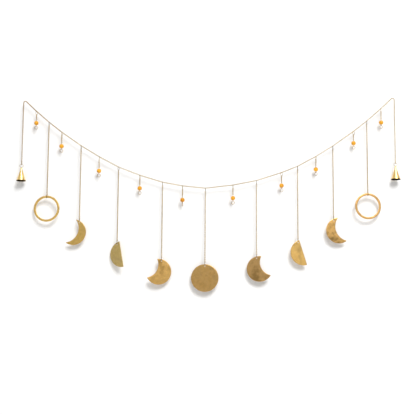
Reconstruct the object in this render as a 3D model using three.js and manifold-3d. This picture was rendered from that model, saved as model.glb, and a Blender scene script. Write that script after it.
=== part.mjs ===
// Moon phase wall garland. A fine brass chain is draped over two nails. Nine moon phases hang
// from it on drop chains, with an amber bead between each two, and a bell hangs at each end.
// The origin is the axis of the left nail. +X runs along the wall to the right nail, +Z is up
// and -Y faces the room. Sizes are in millimetres and angles in degrees.

import * as THREE from "three";
import { mergeVertices } from "three/addons/utils/BufferGeometryUtils.js";
import Module from "manifold-3d";

const wasm = await Module();
wasm.setup();

// Fit: the gap between a wire and the link, eye or hole that it hangs in
const CLEARANCE = 0.3;

// Hanging points: the right nail is a little higher than the left one
const NAIL_SPAN = 820;
const NAIL_RISE = 12.5;
const NAIL_DIAMETER = 4.8;

// Jump rings
const RING_WIRE = 0.8;
const RING_DIAMETER = 8;

// Cable chain: its links are just wide enough for a jump ring to pass
const LINK_WIRE = 0.8;
const LINK_PITCH = 2.5;
const LINK_WIDTH = RING_WIRE + 2 * CLEARANCE + 2 * LINK_WIRE;

// Chain tails from the nails down to the bells
const LEFT_TAIL = 139;
const RIGHT_TAIL = 143;

// Moon plates
const PLATE_THICKNESS = 1.8;
const PLATE_BEVEL = 0.5;
const HOLE_DIAMETER = 2.4;
const HOLE_INSET = 3.6;
const HORN_TIP = 1.2;
const FULL_DIAMETER = 60;
const HALF_DIAMETER = 56.8;
const THIN_DIAMETER = 56.8;
const THIN_LEFT_WIDTH = 18.3;
const THIN_RIGHT_WIDTH = 22;
const THIN_BITE_DIAMETER = 62.5;
const FAT_DIAMETER = 56;
const FAT_WIDTH = 32.3;
const FAT_BITE_DIAMETER = 57;

// New moon: a flat band bent into a ring
const BAND_DIAMETER = 58;
const BAND_WIDTH = 5;
const BAND_THICKNESS = 2.4;

// Beads on eye pins
const BEAD_DIAMETER = 10;
const PIN_WIRE = 0.6;

// Bells
const BELL_MOUTH = 21;
const BELL_HEIGHT = 29;
const BELL_WALL = 0.8;
const BELL_CROWN = 3;
const BELL_FLARE = 1.15;

// How much the strand's slope changes where each kind of piece pulls on it
const PULL = { bead: 0.08, band: 0.087, thin: 0.088, half: 0.1435, fat: 0.126, full: 0.218 };

// Moons from left to right: the place as a share of the span, the links in the drop chain, the
// side that a plate opens to (-1 is left), the angle of its hole around its centre, counted
// from that side, and how far it has turned on its ring
const MOONS = [
  { name: "new_moon_ring_left", kind: "band", share: 0.0663, links: 63, turn: 6 },
  { name: "thin_crescent_left", kind: "thin", share: 0.1549, links: 63, side: -1, holeAngle: 98, turn: 4 },
  { name: "half_moon_left", kind: "half", share: 0.2572, links: 63, side: 1, holeAngle: 108, turn: 24 },
  { name: "fat_crescent_left", kind: "fat", share: 0.3763, links: 64, side: -1, holeAngle: 77, turn: -5 },
  { name: "full_moon", kind: "full", share: 0.4918, links: 63, side: 1, holeAngle: 90, turn: 3 },
  { name: "fat_crescent_right", kind: "fat", share: 0.6293, links: 63, side: 1, holeAngle: 79, turn: 4 },
  { name: "half_moon_right", kind: "half", share: 0.74, links: 62, side: 1, holeAngle: 101, turn: -4 },
  { name: "thin_crescent_right", kind: "thin", share: 0.8357, links: 61, side: 1, holeAngle: 97, turn: -6 },
  { name: "new_moon_ring_right", kind: "band", share: 0.9287, links: 62, turn: -5 },
];
const CRESCENT_WIDTHS = {
  thin_crescent_left: THIN_LEFT_WIDTH,
  thin_crescent_right: THIN_RIGHT_WIDTH,
  fat_crescent_left: FAT_WIDTH,
  fat_crescent_right: FAT_WIDTH,
};

// Beads from left to right: the place as a share of the span, the links above the bead, and the
// turn of the upper and of the lower jump ring (0 is edge-on from the room, 90 is face-on)
const BEADS = [
  { share: 0.0315, links: 5, upperTurn: -50, lowerTurn: 80 },
  { share: 0.1017, links: 7, upperTurn: 12, lowerTurn: 62 },
  { share: 0.2045, links: 7, upperTurn: -8, lowerTurn: 84 },
  { share: 0.3151, links: 6, upperTurn: 15, lowerTurn: 70 },
  { share: 0.4304, links: 7, upperTurn: -12, lowerTurn: 10 },
  { share: 0.566, links: 6, upperTurn: 6, lowerTurn: 88 },
  { share: 0.6968, links: 6, upperTurn: 48, lowerTurn: 74 },
  { share: 0.7896, links: 6, upperTurn: -14, lowerTurn: 58 },
  { share: 0.8923, links: 5, upperTurn: 50, lowerTurn: 82 },
  { share: 0.968, links: 7, upperTurn: 10, lowerTurn: 66 },
];

// Facets
const DISC_SIDES = 32;
const BAND_SIDES = 28;
const BORE_SIDES = 8;
const WIRE_SIDES = 4;
const RING_SIDES = 8;
const EYE_SIDES = 6;
const BEND_STEPS = 6;
const BEAD_SIDES = 8;
const BEAD_RINGS = 5;
const BELL_SIDES = 16;
const BELL_RINGS = 2;

// Finishes
const COLOURS = {
  chain: { color: 0xb08d57, roughness: 0.38, metalness: 0.9 },
  ring: { color: 0xd9bd80, roughness: 0.3, metalness: 0.9 },
  moon: { color: 0xb8935a, roughness: 0.45, metalness: 0.85 },
  brightMoon: { color: 0xd9ae6a, roughness: 0.4, metalness: 0.85 },
  bead: { color: 0xd98a32, roughness: 0.25, metalness: 0 },
  bell: { color: 0xe0bf6c, roughness: 0.15, metalness: 1 },
};

const ringRadius = (RING_DIAMETER - RING_WIRE) / 2;
const eyeRadius = (RING_WIRE + PIN_WIRE) / 2 + CLEARANCE;
const bendRadius = (NAIL_DIAMETER + LINK_WIDTH) / 2;
const radians = THREE.MathUtils.degToRad;

for (const piece of [...MOONS, ...BEADS]) {
  piece.at = piece.share * NAIL_SPAN;
}

const garland = new THREE.Group();

function add(name, geometry, finish) {
  const mesh = new THREE.Mesh(geometry, new THREE.MeshStandardMaterial(COLOURS[finish]));
  mesh.name = name;
  garland.add(mesh);
  return mesh;
}

// Solids: closed geometries that can be joined and cut
function toSolid(geometry) {
  const bare = geometry.clone();
  bare.deleteAttribute("normal");
  bare.deleteAttribute("uv");
  const merged = mergeVertices(bare, 1e-5);
  return new wasm.Manifold(new wasm.Mesh({
    numProp: 3,
    vertProperties: new Float32Array(merged.attributes.position.array),
    triVerts: new Uint32Array(merged.index.array),
  }));
}

function toGeometry(solid) {
  const mesh = solid.getMesh();
  const geometry = new THREE.BufferGeometry();
  geometry.setAttribute("position", new THREE.BufferAttribute(mesh.vertProperties, 3));
  geometry.setIndex(new THREE.BufferAttribute(mesh.triVerts, 1));
  geometry.computeVertexNormals();
  return geometry;
}

function join(geometries) {
  return geometries.map(toSolid).reduce((whole, piece) => whole.add(piece));
}

// A wire ring in an upright plane, with a flat side at its top and at its bottom. A turn of 0
// sets the plane across the garland and 90 along it.
function wireRing(radius, wire, sides, x, height, turn) {
  const ring = new THREE.TorusGeometry(radius / Math.cos(Math.PI / sides), wire / 2, WIRE_SIDES, sides);
  ring.rotateZ(Math.PI / 2 - Math.PI / sides);
  ring.rotateX(Math.PI / 2);
  ring.rotateZ(Math.PI / 2 - radians(turn));
  ring.translate(x, 0, height);
  return ring;
}

function jumpRing(x, height, turn) {
  return wireRing(ringRadius, RING_WIRE, RING_SIDES, x, height, turn);
}

// The room that a jump ring needs where it passes through a link at its top
function jumpRingRoom(x, top, turn) {
  const wire = RING_WIRE + 2 * CLEARANCE;
  return toSolid(wireRing(ringRadius, wire, RING_SIDES, x, top - ringRadius, turn));
}

function pinEye(x, height, turn) {
  return wireRing(eyeRadius, PIN_WIRE, EYE_SIDES, x, height, turn);
}

// A straight upright rod between two heights
function rod(x, top, bottom, width, sides) {
  const shape = new THREE.CylinderGeometry(width / 2, width / 2, top - bottom, sides);
  shape.rotateX(Math.PI / 2);
  shape.translate(x, 0, (top + bottom) / 2);
  return shape;
}

// Strand: between two loads it runs straight, and its sag is the sum of what each load adds
const loads = [...MOONS, ...BEADS].map((piece) => ({ at: piece.at, pull: PULL[piece.kind ?? "bead"] }));
loads.sort((a, b) => a.at - b.at);

function sagAt(x) {
  let sag = 0;
  for (const load of loads) {
    sag += load.pull * Math.min(x, load.at) * (1 - Math.max(x, load.at) / NAIL_SPAN);
  }
  return sag;
}

const rise = NAIL_RISE / NAIL_SPAN;
const leftLean = Math.atan(sagAt(loads[0].at) / loads[0].at - rise);
const lastLoad = loads[loads.length - 1];
const rightLean = Math.atan(sagAt(lastLoad.at) / (NAIL_SPAN - lastLoad.at) + rise);

// The strand leaves each nail on the line that touches the bend
function strandHeight(x) {
  const share = x / NAIL_SPAN;
  const leftLift = bendRadius / Math.cos(leftLean);
  const rightLift = bendRadius / Math.cos(rightLean);
  return leftLift * (1 - share) + (NAIL_RISE + rightLift) * share - sagAt(x);
}

// A route with one step of the sweep for each stretch between its places
class Route extends THREE.Curve {
  constructor(places) {
    super();
    this.places = places;
  }

  getPoint(t) {
    const along = t * (this.places.length - 1);
    const i = Math.min(Math.floor(along), this.places.length - 2);
    return new THREE.Vector3().lerpVectors(this.places[i], this.places[i + 1], along - i);
  }

  getPointAt(t) {
    return this.getPoint(t);
  }

  getTangentAt(t) {
    const last = this.places.length - 1;
    const i = Math.round(t * last);
    const here = this.places[i];
    const before = here.clone().sub(this.places[Math.max(i - 1, 0)]).normalize();
    const after = this.places[Math.min(i + 1, last)].clone().sub(here).normalize();
    return before.add(after).normalize();
  }
}

function bendOver(nail, from, to) {
  const places = [];
  for (let i = 0; i <= BEND_STEPS; i++) {
    const angle = THREE.MathUtils.lerp(from, to, i / BEND_STEPS);
    const fromNail = new THREE.Vector3(bendRadius * Math.cos(angle), 0, bendRadius * Math.sin(angle));
    places.push(fromNail.add(nail));
  }
  return places;
}

// The chain's envelope: four corners, as its links cross each other at right angles
function chainSection() {
  const half = LINK_WIDTH / 2;
  return new THREE.Shape([
    new THREE.Vector2(half, 0),
    new THREE.Vector2(0, half),
    new THREE.Vector2(-half, 0),
    new THREE.Vector2(0, -half),
  ]);
}

const leftNail = new THREE.Vector3(0, 0, 0);
const rightNail = new THREE.Vector3(NAIL_SPAN, 0, NAIL_RISE);
const leftRest = new THREE.Vector3(-bendRadius, 0, -LEFT_TAIL);
const rightRest = new THREE.Vector3(NAIL_SPAN + bendRadius, 0, NAIL_RISE - RIGHT_TAIL);

// How far the last link reaches below the bell's ring
const belowRing = new THREE.Vector3(0, 0, -(RING_WIRE / 2 + CLEARANCE + LINK_WIRE));

function mainChain() {
  const places = [
    leftRest.clone().add(belowRing),
    ...bendOver(leftNail, Math.PI, Math.PI / 2 - leftLean),
    ...loads.map((load) => new THREE.Vector3(load.at, 0, strandHeight(load.at))),
    ...bendOver(rightNail, Math.PI / 2 + rightLean, 0),
    rightRest.clone().add(belowRing),
  ];
  let chain = toSolid(new THREE.ExtrudeGeometry(chainSection(), {
    steps: places.length - 1,
    extrudePath: new Route(places),
  }));
  for (const piece of [...MOONS, ...BEADS]) {
    const turn = piece.upperTurn ?? piece.turn;
    chain = chain.subtract(jumpRingRoom(piece.at, strandHeight(piece.at), turn));
  }
  chain = chain.subtract(jumpRingRoom(leftRest.x, leftRest.z, 90));
  return chain.subtract(jumpRingRoom(rightRest.x, rightRest.z, 90));
}

// A jump ring through a link of the strand, with a straight chain hooked into it. The bottom
// returned is the inside of the lowest link, where the next wire rests.
function hookedChain(x, links, turn) {
  const strand = strandHeight(x);
  const hook = strand - 2 * ringRadius;
  const top = hook + RING_WIRE / 2 + LINK_WIRE;
  const bottom = hook + RING_WIRE / 2 - links * LINK_PITCH;
  return {
    solids: [
      jumpRing(x, strand - ringRadius, turn),
      rod(x, top, bottom - LINK_WIRE, LINK_WIDTH, WIRE_SIDES),
    ],
    bottom,
  };
}

// Moon outlines, each around its own centre with its hole
function holeAt(radius, angle, side) {
  const around = radians(angle);
  return new THREE.Vector2(side * radius * Math.cos(around), radius * Math.sin(around));
}

function arcPoints(centreX, radius, from, to, steps) {
  const points = [];
  for (let i = 0; i <= steps; i++) {
    const angle = THREE.MathUtils.lerp(from, to, i / steps);
    points.push(new THREE.Vector2(centreX + radius * Math.cos(angle), radius * Math.sin(angle)));
  }
  return points;
}

function stepsFor(angle) {
  return Math.max(Math.round((DISC_SIDES * angle) / (2 * Math.PI)), 4);
}

// A disc with a round bite that opens to +X. Its horns stop where they are as wide as the tip.
function crescent(diameter, width, biteDiameter) {
  const outer = diameter / 2;
  const bite = biteDiameter / 2;
  const biteX = width - outer + bite;
  const crossX = (biteX ** 2 + outer ** 2 - bite ** 2) / (2 * biteX);
  const crossY = Math.sqrt(outer ** 2 - crossX ** 2);
  const sharpHorn = Math.atan2(crossY, crossX);
  const sharpInner = Math.atan2(crossY, crossX - biteX);
  const setBack = HORN_TIP / (2 * Math.sin((sharpInner - sharpHorn) / 2));
  const horn = sharpHorn + setBack / outer;
  const innerHorn = sharpInner + setBack / bite;
  const outerArc = arcPoints(0, outer, horn, 2 * Math.PI - horn, stepsFor(2 * Math.PI - 2 * horn));
  const innerArc = arcPoints(biteX, bite, 2 * Math.PI - innerHorn, innerHorn, stepsFor(2 * Math.PI - 2 * innerHorn));
  return [...outerArc, ...innerArc];
}

// A half disc with its straight edge on the +X side, and blunt corners
function halfDisc(diameter) {
  const corner = Math.PI / 2 + HORN_TIP / diameter;
  return arcPoints(0, diameter / 2, corner, 2 * Math.PI - corner, DISC_SIDES / 2);
}

function disc(diameter, sides) {
  return arcPoints(0, diameter / 2, 0, 2 * Math.PI, sides).slice(0, sides);
}

const OUTLINES = {
  full: () => disc(FULL_DIAMETER, DISC_SIDES),
  half: () => halfDisc(HALF_DIAMETER),
  thin: (width) => crescent(THIN_DIAMETER, width, THIN_BITE_DIAMETER),
  fat: (width) => crescent(FAT_DIAMETER, width, FAT_BITE_DIAMETER),
};

const DIAMETERS = { full: FULL_DIAMETER, half: HALF_DIAMETER, thin: THIN_DIAMETER, fat: FAT_DIAMETER };

function centroid(points) {
  const sum = new THREE.Vector2();
  let area = 0;
  points.forEach((a, i) => {
    const b = points[(i + 1) % points.length];
    const cross = a.x * b.y - b.x * a.y;
    area += cross / 2;
    sum.x += (a.x + b.x) * cross;
    sum.y += (a.y + b.y) * cross;
  });
  return sum.divideScalar(6 * area);
}

// A plate cut to an outline, bevelled on both faces, standing upright around y = 0
function plate(outline, hole, thickness) {
  const shape = new THREE.Shape(outline);
  shape.holes.push(new THREE.Path(hole));
  const geometry = new THREE.ExtrudeGeometry(shape, {
    depth: thickness - 2 * PLATE_BEVEL,
    bevelThickness: PLATE_BEVEL,
    bevelSize: PLATE_BEVEL,
    bevelOffset: -PLATE_BEVEL,
    bevelSegments: 1,
    curveSegments: 1,
  });
  geometry.translate(0, 0, -thickness / 2 + PLATE_BEVEL);
  geometry.rotateX(Math.PI / 2);
  return geometry;
}

// The hole's flats touch its diameter, so that the wire's gap holds all round
function drilled(centre) {
  const corner = HOLE_DIAMETER / 2 / Math.cos(Math.PI / BORE_SIDES);
  return disc(2 * corner, BORE_SIDES).map((point) => point.add(centre));
}

// A moon hangs with its centre of mass under its hole, which sets how far it tilts
function hungMoon(moon, wireHeight) {
  const width = CRESCENT_WIDTHS[moon.name];
  const outline = OUTLINES[moon.kind](width).map((point) => new THREE.Vector2(moon.side * point.x, point.y));
  if (moon.side < 0) outline.reverse();
  const hole = holeAt(DIAMETERS[moon.kind] / 2 - HOLE_INSET, moon.holeAngle, moon.side);
  const weight = centroid(outline).sub(hole);
  const tilt = -Math.PI / 2 - Math.atan2(weight.y, weight.x);
  const geometry = plate(outline, drilled(hole), PLATE_THICKNESS);
  geometry.translate(-hole.x, 0, -hole.y);
  geometry.rotateY(-tilt);
  geometry.rotateZ(-radians(moon.turn));
  const rest = HOLE_DIAMETER / 2 - RING_WIRE / 2 - CLEARANCE;
  geometry.translate(moon.at, 0, wireHeight - rest);
  return geometry;
}

// A band hangs inside its jump ring, with its inner edge on the ring's wire
function hungBand(moon, ringHeight) {
  const outer = BAND_DIAMETER / 2;
  const geometry = plate(disc(BAND_DIAMETER, BAND_SIDES), disc(BAND_DIAMETER - 2 * BAND_WIDTH, BAND_SIDES), BAND_THICKNESS);
  const room = ringRadius - RING_WIRE / 2 - CLEARANCE;
  const seat = Math.sqrt(room ** 2 - (BAND_THICKNESS / 2) ** 2);
  geometry.rotateZ(-radians(moon.turn));
  geometry.translate(moon.at, 0, ringHeight - seat - outer + BAND_WIDTH);
  return geometry;
}

for (const moon of MOONS) {
  const drop = hookedChain(moon.at, moon.links, moon.turn);
  const ringHeight = drop.bottom + RING_WIRE / 2 - ringRadius;
  const lowerRing = jumpRing(moon.at, ringHeight, moon.turn);
  add(`${moon.name}_chain`, toGeometry(join([...drop.solids, lowerRing])), "chain");
  if (moon.kind === "band") {
    add(moon.name, toGeometry(toSolid(hungBand(moon, ringHeight))), "brightMoon");
  } else {
    add(moon.name, toGeometry(toSolid(hungMoon(moon, ringHeight - ringRadius))), "moon");
  }
}

// A bead: a ball with a bore for the eye pin
function beadBall(x, height) {
  const radius = BEAD_DIAMETER / 2;
  const bore = (PIN_WIRE / 2 + CLEARANCE) / Math.cos(Math.PI / BEAD_SIDES);
  const end = Math.acos(bore / radius);
  const profile = [];
  for (let i = 0; i <= BEAD_RINGS; i++) {
    const angle = THREE.MathUtils.lerp(-end, end, i / BEAD_RINGS);
    profile.push(new THREE.Vector2(radius * Math.cos(angle), radius * Math.sin(angle)));
  }
  profile.push(profile[0].clone());
  const ball = new THREE.LatheGeometry(profile, BEAD_SIDES);
  ball.rotateX(Math.PI / 2);
  ball.translate(x, 0, height);
  return ball;
}

BEADS.forEach((bead, i) => {
  const name = `bead_${String(i + 1).padStart(2, "0")}`;
  const hanger = hookedChain(bead.at, bead.links, bead.upperTurn);
  const upperEye = hanger.bottom + PIN_WIRE / 2 - eyeRadius;
  const ballTop = upperEye - eyeRadius - PIN_WIRE / 2 - CLEARANCE;
  const ballCentre = ballTop - BEAD_DIAMETER / 2;
  const lowerEye = ballTop - BEAD_DIAMETER - CLEARANCE - PIN_WIRE / 2 - eyeRadius;
  const pin = rod(bead.at, upperEye - eyeRadius, lowerEye + eyeRadius, PIN_WIRE, WIRE_SIDES);
  const eyeTurn = bead.lowerTurn + 90;
  const eyes = [pinEye(bead.at, upperEye, eyeTurn), pinEye(bead.at, lowerEye, eyeTurn)];
  add(`${name}_hanger`, toGeometry(join([...hanger.solids, ...eyes, pin])), "chain");
  add(name, toGeometry(toSolid(beadBall(bead.at, ballCentre))), "bead");
  add(`${name}_ring`, toGeometry(toSolid(jumpRing(bead.at, lowerEye - ringRadius, bead.lowerTurn))), "ring");
});

// A bell: a thin cone that flares a little to its open mouth, with an eye on its crown
function bell(x, eyeHeight) {
  const crown = BELL_CROWN / 2;
  const mouth = BELL_MOUTH / 2;
  const outer = [];
  const inner = [];
  for (let i = 0; i <= BELL_RINGS; i++) {
    const share = i / BELL_RINGS;
    const radius = crown + (mouth - crown) * share ** BELL_FLARE;
    outer.push(new THREE.Vector2(radius, -BELL_HEIGHT * share));
    inner.push(new THREE.Vector2(radius - BELL_WALL, -BELL_HEIGHT * share - (i === 0 ? BELL_WALL : 0)));
  }
  const onAxis = (point) => new THREE.Vector2(0, point.y);
  const profile = [onAxis(inner[0]), ...inner, ...outer.reverse(), onAxis(outer[BELL_RINGS])];
  const cone = new THREE.LatheGeometry(profile, BELL_SIDES);
  cone.rotateX(Math.PI / 2);
  cone.translate(x, 0, eyeHeight - eyeRadius);
  return join([cone, pinEye(x, eyeHeight, 0)]);
}

function hangBell(side, rest) {
  const ringHeight = rest.z - ringRadius;
  add(`${side}_bell_ring`, toGeometry(toSolid(jumpRing(rest.x, ringHeight, 90))), "ring");
  add(`${side}_bell`, toGeometry(bell(rest.x, ringHeight - ringRadius)), "bell");
}

add("main_chain", toGeometry(mainChain()), "chain");
hangBell("left", leftRest);
hangBell("right", rightRest);

export default garland;
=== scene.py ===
# %% [markdown]
# # A moon phase wall garland
# The garland is a fine brass chain draped over two nails. Nine flat moons hang from it on long
# chains, wooden beads hang between them and a bell hangs at each end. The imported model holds
# every piece at its real place and size, as plain solids. This lesson dresses those solids: the
# chains become real links, the wires become round, the moons get a hammered face, and each
# finish gets its own material. We load the model first, because everything is placed from it.

# %% Load the model
import math

import bmesh
import bpy
import numpy as np
from mathutils import Matrix, Vector, noise
from mathutils.geometry import delaunay_2d_cdt


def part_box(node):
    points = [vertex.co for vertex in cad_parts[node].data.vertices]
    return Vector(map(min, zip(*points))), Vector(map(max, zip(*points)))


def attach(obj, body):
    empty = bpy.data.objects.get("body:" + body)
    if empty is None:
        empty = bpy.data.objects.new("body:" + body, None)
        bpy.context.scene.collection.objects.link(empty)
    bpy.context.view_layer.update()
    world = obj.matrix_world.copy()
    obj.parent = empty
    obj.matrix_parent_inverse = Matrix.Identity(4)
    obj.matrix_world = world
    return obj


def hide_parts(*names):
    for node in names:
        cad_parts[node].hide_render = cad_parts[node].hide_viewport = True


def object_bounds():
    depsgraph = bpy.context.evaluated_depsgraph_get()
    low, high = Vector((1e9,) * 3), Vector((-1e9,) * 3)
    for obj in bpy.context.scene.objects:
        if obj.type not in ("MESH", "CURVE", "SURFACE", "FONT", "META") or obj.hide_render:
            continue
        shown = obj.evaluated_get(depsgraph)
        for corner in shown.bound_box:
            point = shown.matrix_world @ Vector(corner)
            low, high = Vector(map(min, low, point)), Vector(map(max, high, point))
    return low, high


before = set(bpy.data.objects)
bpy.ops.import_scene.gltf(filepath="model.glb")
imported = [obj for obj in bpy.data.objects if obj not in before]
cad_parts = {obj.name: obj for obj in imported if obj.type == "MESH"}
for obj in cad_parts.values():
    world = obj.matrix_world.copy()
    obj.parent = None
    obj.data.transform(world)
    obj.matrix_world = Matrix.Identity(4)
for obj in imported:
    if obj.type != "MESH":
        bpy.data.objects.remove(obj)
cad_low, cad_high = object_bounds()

MM = 0.001
print("model size in mm:", [round(side / MM, 1) for side in cad_high - cad_low])

# %% [markdown]
# ## The camera
# The photograph was taken from below the garland, looking a little up, with a long lens. A long
# lens keeps the outer moons as round as the middle one. The camera was also tipped sideways by
# less than half a degree, which shows in the drop chains: they all lean a little the same way.

# %% Camera
PHOTO_WIDTH = 416
FOCAL_PIXELS = 950
CAMERA_PLACE = Vector((409.3, -2069.6, -522.5)) * MM
CAMERA_PITCH = math.radians(8)
CAMERA_ROLL = math.radians(0.38)

camera_data = bpy.data.cameras.new("camera")
camera_data.lens = camera_data.sensor_width * FOCAL_PIXELS / PHOTO_WIDTH
camera = bpy.data.objects.new("camera", camera_data)
camera.matrix_world = (
    Matrix.Translation(CAMERA_PLACE)
    @ Matrix.Rotation(math.pi / 2 + CAMERA_PITCH, 4, "X")
    @ Matrix.Rotation(CAMERA_ROLL, 4, "Z")
)
bpy.context.scene.collection.objects.link(camera)
bpy.context.scene.camera = camera
print("lens in mm:", round(camera_data.lens, 1))

# %% [markdown]
# ## Building meshes
# Most of the garland is bent wire, so two helpers do nearly all the work. One turns lists of
# corners and faces into an object that rides with the model. The other sweeps a round section
# along a path. A curve object with a bevel could sweep the wire too, but a mesh is the same in
# every viewer, and hundreds of links can be joined into one piece.

# %% Helpers for pieces
def make_piece(name, vertices, faces, materials, slot, node, face_materials=None):
    """A piece that stands for one of the model's nodes and rides with it."""
    mesh = bpy.data.meshes.new(name)
    mesh.from_pydata([tuple(v) for v in vertices], [], [tuple(f) for f in faces])
    mesh.validate()
    for material in materials:
        mesh.materials.append(material)
    if face_materials is not None:
        mesh.polygons.foreach_set("material_index", face_materials)
    mesh.polygons.foreach_set("use_smooth", [True] * len(mesh.polygons))
    piece = bpy.data.objects.new(name, mesh)
    bpy.context.scene.collection.objects.link(piece)
    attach(piece, "root")
    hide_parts(node)
    return piece


def join_parts(parts):
    """Joins (vertices, faces) pairs into one pair."""
    vertices = []
    faces = []
    for part_vertices, part_faces in parts:
        start = len(vertices)
        vertices.extend(part_vertices)
        faces.extend([tuple(start + i for i in face) for face in part_faces])
    return vertices, faces


def sweep(path, radius, sides, closed=False):
    """A round wire along a list of points. Open ends get a flat cap."""
    count = len(path)
    vertices = []
    side = None
    for i, place in enumerate(path):
        before = path[i - 1] if closed or i > 0 else place
        after = path[(i + 1) % count] if closed or i < count - 1 else place
        along = (after - before).normalized()
        if side is None:
            side = along.orthogonal().normalized()
        side = (side - along * side.dot(along)).normalized()
        other = along.cross(side)
        for k in range(sides):
            angle = 2 * math.pi * k / sides
            vertices.append(place + radius * (math.cos(angle) * side + math.sin(angle) * other))
    faces = []
    for i in range(count if closed else count - 1):
        j = (i + 1) % count
        for k in range(sides):
            m = (k + 1) % sides
            faces.append((i * sides + k, i * sides + m, j * sides + m, j * sides + k))
    if not closed:
        faces.append(tuple(reversed(range(sides))))
        faces.append(tuple(range((count - 1) * sides, count * sides)))
    return vertices, faces


def upright_place(centre, turn, along, up):
    """A point of an upright plane that is turned from edge-on (0) to face-on (90 degrees)."""
    angle = math.radians(turn)
    return centre + Vector((math.sin(angle) * along, math.cos(angle) * along, up))


# %% [markdown]
# ## Materials
# Everything but the beads is brass, yet no two brasses here look alike: the moons are mottled and
# matt with a redder rim, the chains are tarnished and the bells are polished.
# One node group makes the mottling for all of them. It mixes a light and a dark tone by two
# sizes of noise, so each material only says which tones, how large the blotches are and how
# strong they are. The alternative, one long node tree for each brass, would repeat the same steps.

# %% A node group for mottled brass
def new_group(name, inputs, outputs):
    group = bpy.data.node_groups.new(name, "ShaderNodeTree")
    for label, kind, value in inputs:
        socket = group.interface.new_socket(name=label, in_out="INPUT", socket_type=kind)
        socket.default_value = value
    for label, kind in outputs:
        group.interface.new_socket(name=label, in_out="OUTPUT", socket_type=kind)
    return group, group.nodes.new("NodeGroupInput"), group.nodes.new("NodeGroupOutput")


def math_node(nodes, links, operation, first, second):
    node = nodes.new("ShaderNodeMath")
    node.operation = operation
    for socket, value in zip(node.inputs, (first, second)):
        if isinstance(value, (int, float)):
            socket.default_value = value
        else:
            links.new(value, socket)
    return node.outputs[0]


def mix_node(nodes, links, factor, first, second):
    node = nodes.new("ShaderNodeMix")
    node.data_type = "RGBA"
    links.new(factor, node.inputs["Factor"])
    links.new(first, node.inputs["A"])
    links.new(second, node.inputs["B"])
    return node.outputs["Result"]


def noise_node(nodes, links, place, scale, detail):
    node = nodes.new("ShaderNodeTexNoise")
    node.inputs["Detail"].default_value = detail
    links.new(place, node.inputs["Vector"])
    if isinstance(scale, (int, float)):
        node.inputs["Scale"].default_value = scale
    else:
        links.new(scale, node.inputs["Scale"])
    return node.outputs["Fac"]


def spread_node(nodes, links, value, low, high):
    """Stretches the middle of a noise, from low to high, over the whole range from 0 to 1."""
    node = nodes.new("ShaderNodeMapRange")
    node.inputs["From Min"].default_value = low
    node.inputs["From Max"].default_value = high
    links.new(value, node.inputs["Value"])
    return node.outputs["Result"]


GRAIN_SCALE = 700
GRAIN_DETAIL = 4
GRAIN_STRENGTH = 0.5
BLOTCH_DETAIL = 3
BLOTCH_NOISE = (0.36, 0.64)
RIM_PATCH_NOISE = (0.3, 0.5)
NOISE_MIDDLE = 0.5
SHADE_LEVEL = 0.55
ROUGH_PATCH = 0.4
ROUGHNESS_SWING = 0.25
MOTTLE_INPUTS = [
    ("Light Tone", "NodeSocketColor", (0.8, 0.6, 0.3, 1)),
    ("Dark Tone", "NodeSocketColor", (0.4, 0.3, 0.15, 1)),
    ("Edge Tone", "NodeSocketColor", (0.8, 0.6, 0.3, 1)),
    ("Blotch Scale", "NodeSocketFloat", 90.0),
    ("Blotch Strength", "NodeSocketFloat", 1.0),
    ("Low Shade", "NodeSocketFloat", 0.0),
    ("Roughness", "NodeSocketFloat", 0.4),
]


def mottled_brass_group():
    group, inside, outside = new_group(
        "mottled brass",
        MOTTLE_INPUTS,
        [("Tone", "NodeSocketColor"), ("Roughness", "NodeSocketFloat"), ("Height", "NodeSocketFloat")],
    )
    nodes, links = group.nodes, group.links
    place = nodes.new("ShaderNodeTexCoord")
    blotch = noise_node(nodes, links, place.outputs["Object"], inside.outputs["Blotch Scale"], BLOTCH_DETAIL)
    blotch = spread_node(nodes, links, blotch, *BLOTCH_NOISE)
    grain = noise_node(nodes, links, place.outputs["Object"], GRAIN_SCALE, GRAIN_DETAIL)
    grain_share = math_node(nodes, links, "SUBTRACT", grain, NOISE_MIDDLE)
    grain_share = math_node(nodes, links, "MULTIPLY", grain_share, GRAIN_STRENGTH)
    height = nodes.new("ShaderNodeSeparateXYZ")
    links.new(place.outputs["Generated"], height.inputs[0])
    lowness = math_node(nodes, links, "SUBTRACT", SHADE_LEVEL, height.outputs["Z"])
    shade = math_node(nodes, links, "MULTIPLY", lowness, inside.outputs["Low Shade"])
    patch = math_node(nodes, links, "MULTIPLY", blotch, inside.outputs["Blotch Strength"])
    patch = math_node(nodes, links, "ADD", patch, grain_share)
    patch = math_node(nodes, links, "ADD", patch, shade)
    patch = math_node(nodes, links, "MINIMUM", math_node(nodes, links, "MAXIMUM", patch, 0.0), 1.0)
    body = mix_node(nodes, links, patch, inside.outputs["Light Tone"], inside.outputs["Dark Tone"])
    rim = nodes.new("ShaderNodeAttribute")
    rim.attribute_name = "rim"
    rim_patches = spread_node(nodes, links, grain, *RIM_PATCH_NOISE)
    rim_share = math_node(nodes, links, "MULTIPLY", rim.outputs["Fac"], rim_patches)
    links.new(mix_node(nodes, links, rim_share, body, inside.outputs["Edge Tone"]), outside.inputs["Tone"])
    rough = math_node(nodes, links, "SUBTRACT", patch, ROUGH_PATCH)
    rough = math_node(nodes, links, "MULTIPLY", rough, ROUGHNESS_SWING)
    rough = math_node(nodes, links, "ADD", rough, inside.outputs["Roughness"])
    links.new(rough, outside.inputs["Roughness"])
    links.new(math_node(nodes, links, "ADD", grain, blotch), outside.inputs["Height"])
    return group


mottled_brass = mottled_brass_group()
print("steps in the mottling:", len(mottled_brass.nodes))

# %% [markdown]
# Each brass is one metal shader with the group in front of it. The group gives the tone, the
# roughness and the grain, and the bump turns the grain into shallow dents. The chains, rings,
# bands and bells get their brasses here, and the moons get theirs later, one for each.

# %% Brass finishes
GRAIN_DEPTH = 0.1 * MM
BLOTCH_MM = 11


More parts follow.
